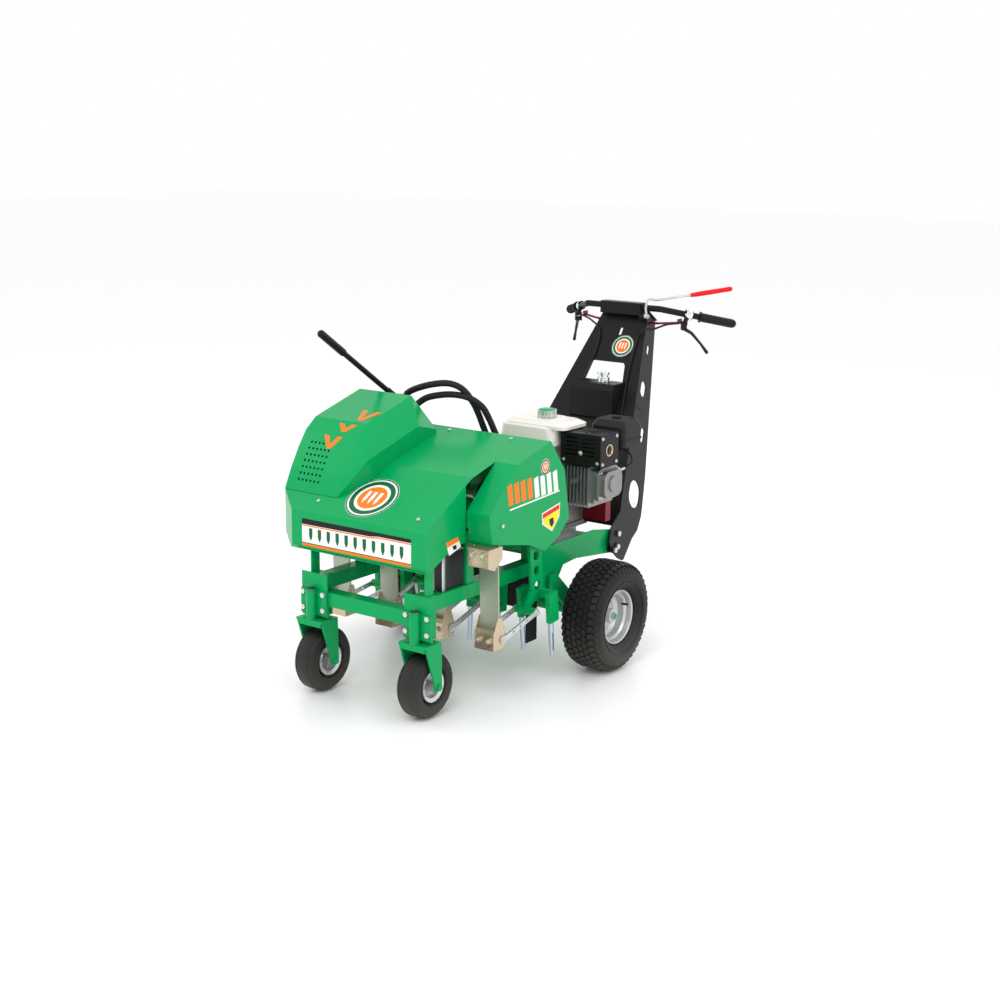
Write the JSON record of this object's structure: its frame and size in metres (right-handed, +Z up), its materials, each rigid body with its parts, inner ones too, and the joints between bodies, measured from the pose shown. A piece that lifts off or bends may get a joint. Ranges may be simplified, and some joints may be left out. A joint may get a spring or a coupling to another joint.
{
  "type": "core aerator",
  "caption": "Walk-behind core aerator: swivelling front casters, a hooded crank drive with rocking hollow tines, a small engine, a hydraulic drive and a tall handle tower.",
  "frame": {"origin": "centre of the bounding box on the ground plane", "axes": "+X to the machine's left, -Y towards the front casters, +Z up"},
  "size_m": [1.033, 1.9344, 1.3178],
  "materials": {
    "green_paint": "gloss",
    "zinc_steel": "satin",
    "silver_paint": "satin",
    "tyre_rubber": "matte",
    "bare_steel": "satin",
    "dark_steel": "satin",
    "cast_grey": "matte",
    "tine_steel": "satin",
    "strip_steel": "satin",
    "yellow_zinc": "satin",
    "black_rubber": "matte",
    "engine_aluminium": "satin",
    "cream_plastic": "gloss",
    "cap_plastic": "gloss",
    "black_paint": "satin",
    "black_plastic": "matte",
    "red_paint": "gloss",
    "chrome_plate": "polished"
  },
  "bodies": {
    "frame": {"frame_rails": "green_paint", "front_frame": "green_paint", "spring_beam": "green_paint", "rear_frame": "green_paint", "front_hood": "green_paint", "side_cover": "green_paint", "drive_cover": "green_paint", "fasteners": "zinc_steel", "caster_brackets": "green_paint", "crank_bearings": "green_paint", "drive_chain": "dark_steel", "hydraulic_motor": "cast_grey", "spring_strips": "strip_steel", "strip_brackets": "yellow_zinc", "debris_guard": "black_rubber", "engine_block": "engine_aluminium", "valve_cover": "engine_aluminium", "fuel_tank": "cream_plastic", "muffler_guard": "black_paint", "air_cleaner": "black_plastic", "recoil_starter": "red_paint", "engine_mounts": "zinc_steel", "hydraulic_pump": "cast_grey", "hydraulic_hoses": "black_rubber", "handle_tower": "black_paint", "handlebar": "black_paint", "oil_tank": "black_paint", "control_cables": "black_rubber"},
    "wheel_carrier": {"wheel_carrier": "green_paint"},
    "rear_wheel_left": {"rear_rim_left": "silver_paint", "rear_tyre_left": "tyre_rubber"},
    "rear_wheel_right": {"rear_rim_right": "silver_paint", "rear_tyre_right": "tyre_rubber"},
    "caster_fork_left": {"caster_fork_left": "green_paint"},
    "caster_fork_right": {"caster_fork_right": "green_paint"},
    "caster_wheel_left": {"caster_rim_left": "zinc_steel", "caster_tyre_left": "tyre_rubber"},
    "caster_wheel_right": {"caster_rim_right": "zinc_steel", "caster_tyre_right": "tyre_rubber"},
    "crankshaft": {"crankshaft": "bare_steel"},
    "motor_sprocket": {"motor_sprocket": "bare_steel"},
    "density_lever": {"density_lever": "black_paint"},
    "engage_lever": {"engage_lever": "zinc_steel"},
    "brake_lever_left": {"brake_lever_left": "black_plastic"},
    "brake_lever_right": {"brake_lever_right": "black_plastic"},
    "presence_bail": {"presence_bail": "red_paint"},
    "fuel_cap": {"fuel_cap": "cap_plastic"},
    "oil_cap": {"oil_cap": "chrome_plate"},
    "arm_1": {"tine_arm_1": "green_paint", "tines_1": "tine_steel"},
    "link_1": {"rocker_link_1": "zinc_steel"},
    "arm_2": {"tine_arm_2": "green_paint", "tines_2": "tine_steel"},
    "link_2": {"rocker_link_2": "zinc_steel"},
    "arm_3": {"tine_arm_3": "green_paint", "tines_3": "tine_steel"},
    "link_3": {"rocker_link_3": "zinc_steel"},
    "arm_4": {"tine_arm_4": "green_paint", "tines_4": "tine_steel"},
    "link_4": {"rocker_link_4": "zinc_steel"}
  },
  "joints": [
    {"name": "carrier_lift", "type": "hinge", "parent": "frame", "child": "wheel_carrier", "pos_m": [0, -0.20374, 0.342], "axis": [1, 0, 0], "range_deg": [0, 18]},
    {"name": "rear_left_spin", "type": "hinge", "parent": "wheel_carrier", "child": "rear_wheel_left", "pos_m": [0.435, -0.05374, 0.203], "axis": [1, 0, 0], "continuous": true},
    {"name": "caster_left_swivel", "type": "hinge", "parent": "frame", "child": "caster_fork_left", "pos_m": [0.228, -0.90874, 0.3], "axis": [0, 0, 1], "continuous": true},
    {"name": "caster_left_spin", "type": "hinge", "parent": "caster_fork_left", "child": "caster_wheel_left", "pos_m": [0.228, -0.85274, 0.1145], "axis": [1, 0, 0], "continuous": true},
    {"name": "rear_right_spin", "type": "hinge", "parent": "wheel_carrier", "child": "rear_wheel_right", "pos_m": [-0.435, -0.05374, 0.203], "axis": [1, 0, 0], "continuous": true},
    {"name": "caster_right_swivel", "type": "hinge", "parent": "frame", "child": "caster_fork_right", "pos_m": [-0.228, -0.90874, 0.3], "axis": [0, 0, 1], "continuous": true},
    {"name": "caster_right_spin", "type": "hinge", "parent": "caster_fork_right", "child": "caster_wheel_right", "pos_m": [-0.228, -0.85274, 0.1145], "axis": [1, 0, 0], "continuous": true},
    {"name": "crank_spin", "type": "hinge", "parent": "frame", "child": "crankshaft", "pos_m": [0, -0.35574, 0.655], "axis": [1, 0, 0], "continuous": true},
    {"name": "motor_spin", "type": "hinge", "parent": "frame", "child": "motor_sprocket", "pos_m": [-0.39, -0.52374, 0.88], "axis": [1, 0, 0], "continuous": true},
    {"name": "arm_1_pin", "type": "hinge", "parent": "crankshaft", "child": "arm_1", "pos_m": [0.33, -0.38174, 0.655], "axis": [1, 0, 0], "continuous": true},
    {"name": "link_1_pivot", "type": "hinge", "parent": "arm_1", "child": "link_1", "pos_m": [0.33, -0.41196, 0.28477], "axis": [1, 0, 0], "range_deg": [-14, 14]},
    {"name": "arm_2_pin", "type": "hinge", "parent": "crankshaft", "child": "arm_2", "pos_m": [0.11, -0.32974, 0.655], "axis": [1, 0, 0], "continuous": true},
    {"name": "link_2_pivot", "type": "hinge", "parent": "arm_2", "child": "link_2", "pos_m": [0.11, -0.41426, 0.29328], "axis": [1, 0, 0], "range_deg": [-14, 14]},
    {"name": "arm_3_pin", "type": "hinge", "parent": "crankshaft", "child": "arm_3", "pos_m": [-0.11, -0.35574, 0.681], "axis": [1, 0, 0], "continuous": true},
    {"name": "link_3_pivot", "type": "hinge", "parent": "arm_3", "child": "link_3", "pos_m": [-0.11, -0.42221, 0.31553], "axis": [1, 0, 0], "range_deg": [-14, 14]},
    {"name": "arm_4_pin", "type": "hinge", "parent": "crankshaft", "child": "arm_4", "pos_m": [-0.33, -0.35574, 0.629], "axis": [1, 0, 0], "continuous": true},
    {"name": "link_4_pivot", "type": "hinge", "parent": "arm_4", "child": "link_4", "pos_m": [-0.33, -0.4076, 0.26117], "axis": [1, 0, 0], "range_deg": [-14, 14]},
    {"name": "density_lift", "type": "hinge", "parent": "frame", "child": "density_lever", "pos_m": [-0.345, -0.30374, 0.95], "axis": [1, 0, 0], "range_deg": [-30, 4]},
    {"name": "engage_lift", "type": "hinge", "parent": "frame", "child": "engage_lever", "pos_m": [0.122, 0.70124, 1.2019], "axis": [1, 0, 0], "range_deg": [0, 35]},
    {"name": "brake_left_squeeze", "type": "hinge", "parent": "frame", "child": "brake_lever_left", "pos_m": [0.25055, 0.78102, 1.15857], "axis": [0.6777, -0.7353, 0], "range_deg": [0, 32], "stiffness_Nm_per_rad": 1.5, "springref_deg": -22.92},
    {"name": "brake_right_squeeze", "type": "hinge", "parent": "frame", "child": "brake_lever_right", "pos_m": [-0.25055, 0.78102, 1.15857], "axis": [0.6777, 0.7353, 0], "range_deg": [0, 32], "stiffness_Nm_per_rad": 1.5, "springref_deg": -22.92},
    {"name": "bail_press", "type": "hinge", "parent": "frame", "child": "presence_bail", "pos_m": [0, 0.76306, 1.16951], "axis": [1, 0, 0], "range_deg": [0, 12], "stiffness_Nm_per_rad": 1, "springref_deg": -17.19},
    {"name": "fuel_cap_turn", "type": "hinge", "parent": "frame", "child": "fuel_cap", "pos_m": [0.112, 0.02226, 0.89], "axis": [0, 0, 1], "continuous": true},
    {"name": "oil_cap_turn", "type": "hinge", "parent": "frame", "child": "oil_cap", "pos_m": [0.033, 0.53826, 0.95], "axis": [0, 0, 1], "continuous": true}
  ],
  "couplings": [
    {"joint": "motor_spin", "follows": "crank_spin", "ratio": 2},
    {"joint": "arm_1_pin", "follows": "crank_spin", "ratio": -1},
    {"joint": "arm_2_pin", "follows": "crank_spin", "ratio": -1},
    {"joint": "arm_3_pin", "follows": "crank_spin", "ratio": -1},
    {"joint": "arm_4_pin", "follows": "crank_spin", "ratio": -1}
  ]
}
